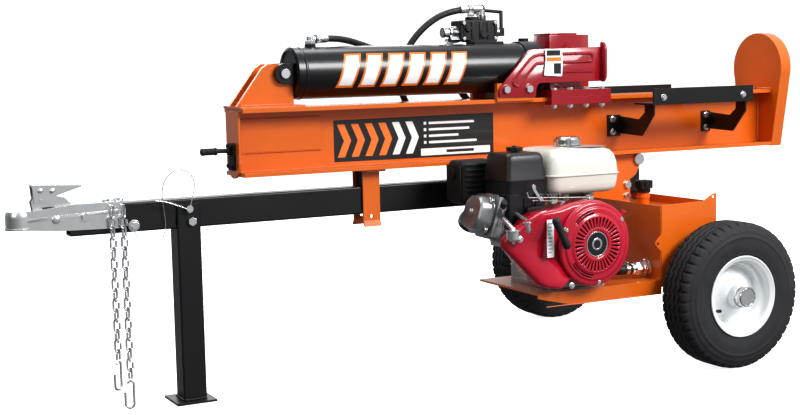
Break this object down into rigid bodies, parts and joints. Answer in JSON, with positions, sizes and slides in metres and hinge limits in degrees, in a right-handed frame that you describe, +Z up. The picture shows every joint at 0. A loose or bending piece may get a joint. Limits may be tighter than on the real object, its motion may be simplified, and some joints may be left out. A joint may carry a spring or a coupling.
{
  "type": "towable log splitter",
  "caption": "Towable hydraulic log splitter: engine and tank axle, tilting I-beam with ram-driven wedge, drawbar with coupler and folding stand.",
  "frame": {"origin": "middle of the footprint on the ground", "axes": "+X along the drawbar and beam from the coupler to the foot plate, +Z up, engine side is -Y"},
  "size_m": [2.426, 1.056, 1.038],
  "materials": {
    "orange_enamel": "gloss enamel",
    "black_enamel": "satin enamel",
    "red_enamel": "gloss enamel",
    "engine_red": "gloss enamel",
    "zinc_plate": "bright zinc plate",
    "bright_steel": "machined",
    "chrome": "polished",
    "tyre_rubber": "matt",
    "rim_white": "gloss white enamel",
    "black_rubber": "matt",
    "cast_aluminium": "as cast",
    "cream_enamel": "gloss enamel",
    "black_plastic": "moulded",
    "dark_steel": "heat resistant black",
    "filter_white": "enamel"
  },
  "bodies": {
    "chassis": {"tongue": "black_enamel", "coupler": "zinc_plate", "safety_chain_anchor": "zinc_plate", "pin_lanyard": "bright_steel", "axle": "black_enamel", "tank": "orange_enamel", "suction_hose": "black_rubber", "pivot_bracket": "orange_enamel", "pivot_pin": "zinc_plate", "engine_platform": "orange_enamel", "engine_block": "cast_aluminium", "valve_cover": "cast_aluminium", "blower_housing": "engine_red", "recoil_cover": "engine_red", "muffler": "dark_steel", "air_cleaner": "black_plastic", "carburettor": "cast_aluminium", "fuel_tank": "cream_enamel", "pump_mount": "cast_aluminium", "hydraulic_pump": "cast_aluminium", "return_filter": "filter_white", "beam_rest": "black_rubber", "lower_hoses": "black_rubber", "frame_bolts": "zinc_plate"},
    "wheel_near": {"tyre_near": "tyre_rubber", "rim_near": "rim_white", "wheel_bearings_near": "bright_steel", "hub_cap_near": "zinc_plate"},
    "wheel_far": {"tyre_far": "tyre_rubber", "rim_far": "rim_white", "wheel_bearings_far": "bright_steel", "hub_cap_far": "zinc_plate"},
    "beam_unit": {"beam": "orange_enamel", "foot_plate": "orange_enamel", "cylinder_barrel": "black_enamel", "beam_saddle": "orange_enamel", "lift_handle": "black_plastic", "stripper_near": "red_enamel", "stripper_far": "red_enamel", "log_cradle_near": "black_enamel", "log_cradle_far": "black_enamel", "control_valve": "dark_steel", "upper_hoses": "black_rubber", "beam_bolts": "zinc_plate"},
    "ram": {"ram_rod": "chrome", "wedge": "red_enamel", "slide_plate": "red_enamel", "gib_blocks": "red_enamel", "slide_bolts": "zinc_plate"},
    "lever": {"valve_lever": "dark_steel"},
    "stand": {"stand_leg": "black_enamel"},
    "pin": {"stand_pin": "zinc_plate"},
    "latch": {"coupler_latch": "zinc_plate"},
    "chain_front": {"safety_chain_front": "zinc_plate"},
    "chain_rear": {"safety_chain_rear": "zinc_plate"},
    "starter": {"recoil_handle": "black_plastic"},
    "crank": {"crankshaft": "bright_steel"},
    "throttle": {"throttle_lever": "bright_steel"},
    "oil_cap": {"filler_cap": "black_plastic"},
    "petrol_cap": {"fuel_cap": "chrome"}
  },
  "joints": [
    {"name": "wheel_near_spin", "type": "hinge", "parent": "chassis", "child": "wheel_near", "pos_m": [0.673, -0.452, 0.205], "axis": [0, 1, 0], "continuous": true},
    {"name": "wheel_far_spin", "type": "hinge", "parent": "chassis", "child": "wheel_far", "pos_m": [0.673, 0.452, 0.205], "axis": [0, 1, 0], "continuous": true},
    {"name": "beam_tilt", "type": "hinge", "parent": "chassis", "child": "beam_unit", "pos_m": [0.673, 0, 0.56], "axis": [0, 1, 0], "range_deg": [0, 90]},
    {"name": "ram_slide", "type": "slide", "parent": "beam_unit", "child": "ram", "axis": [1, 0, 0], "range_m": [0, 0.61]},
    {"name": "valve_lever_tilt", "type": "hinge", "parent": "beam_unit", "child": "lever", "pos_m": [0.248, 0.056, 0.95], "axis": [0, 1, 0], "range_deg": [-15, 15], "stiffness_Nm_per_rad": 6},
    {"name": "stand_fold", "type": "hinge", "parent": "chassis", "child": "stand", "pos_m": [-0.747, 0, 0.474], "axis": [0, 1, 0], "range_deg": [-80, 0]},
    {"name": "stand_pin_pull", "type": "slide", "parent": "stand", "child": "pin", "axis": [0, -1, 0], "range_m": [0, 0.1]},
    {"name": "coupler_latch_lift", "type": "hinge", "parent": "chassis", "child": "latch", "pos_m": [-1.126, 0, 0.552], "axis": [0, 1, 0], "range_deg": [-70, 0]},
    {"name": "chain_front_swing", "type": "hinge", "parent": "chassis", "child": "chain_front", "pos_m": [-0.958, -0.0446, 0.525], "axis": [1, 0, 0], "range_deg": [-70, 0]},
    {"name": "chain_rear_swing", "type": "hinge", "parent": "chassis", "child": "chain_rear", "pos_m": [-0.929, -0.0446, 0.525], "axis": [1, 0, 0], "range_deg": [-70, 0]},
    {"name": "starter_pull", "type": "slide", "parent": "chassis", "child": "starter", "axis": [-0.4, -0.6, 0.6928], "range_m": [0, 0.5], "stiffness_N_per_m": 10, "springref_m": -0.5},
    {"name": "crank_spin", "type": "hinge", "parent": "chassis", "child": "crank", "pos_m": [0.237, -0.25, 0.378], "axis": [0, 1, 0], "continuous": true},
    {"name": "throttle_turn", "type": "hinge", "parent": "chassis", "child": "throttle", "pos_m": [0.113, -0.352, 0.5], "axis": [0, 1, 0], "range_deg": [0, 40]},
    {"name": "filler_cap_turn", "type": "hinge", "parent": "chassis", "child": "oil_cap", "pos_m": [0.567, -0.2, 0.49], "axis": [0, 0, 1], "continuous": true},
    {"name": "fuel_cap_turn", "type": "hinge", "parent": "chassis", "child": "petrol_cap", "pos_m": [0.28, -0.232, 0.64], "axis": [0, 0, 1], "continuous": true}
  ]
}
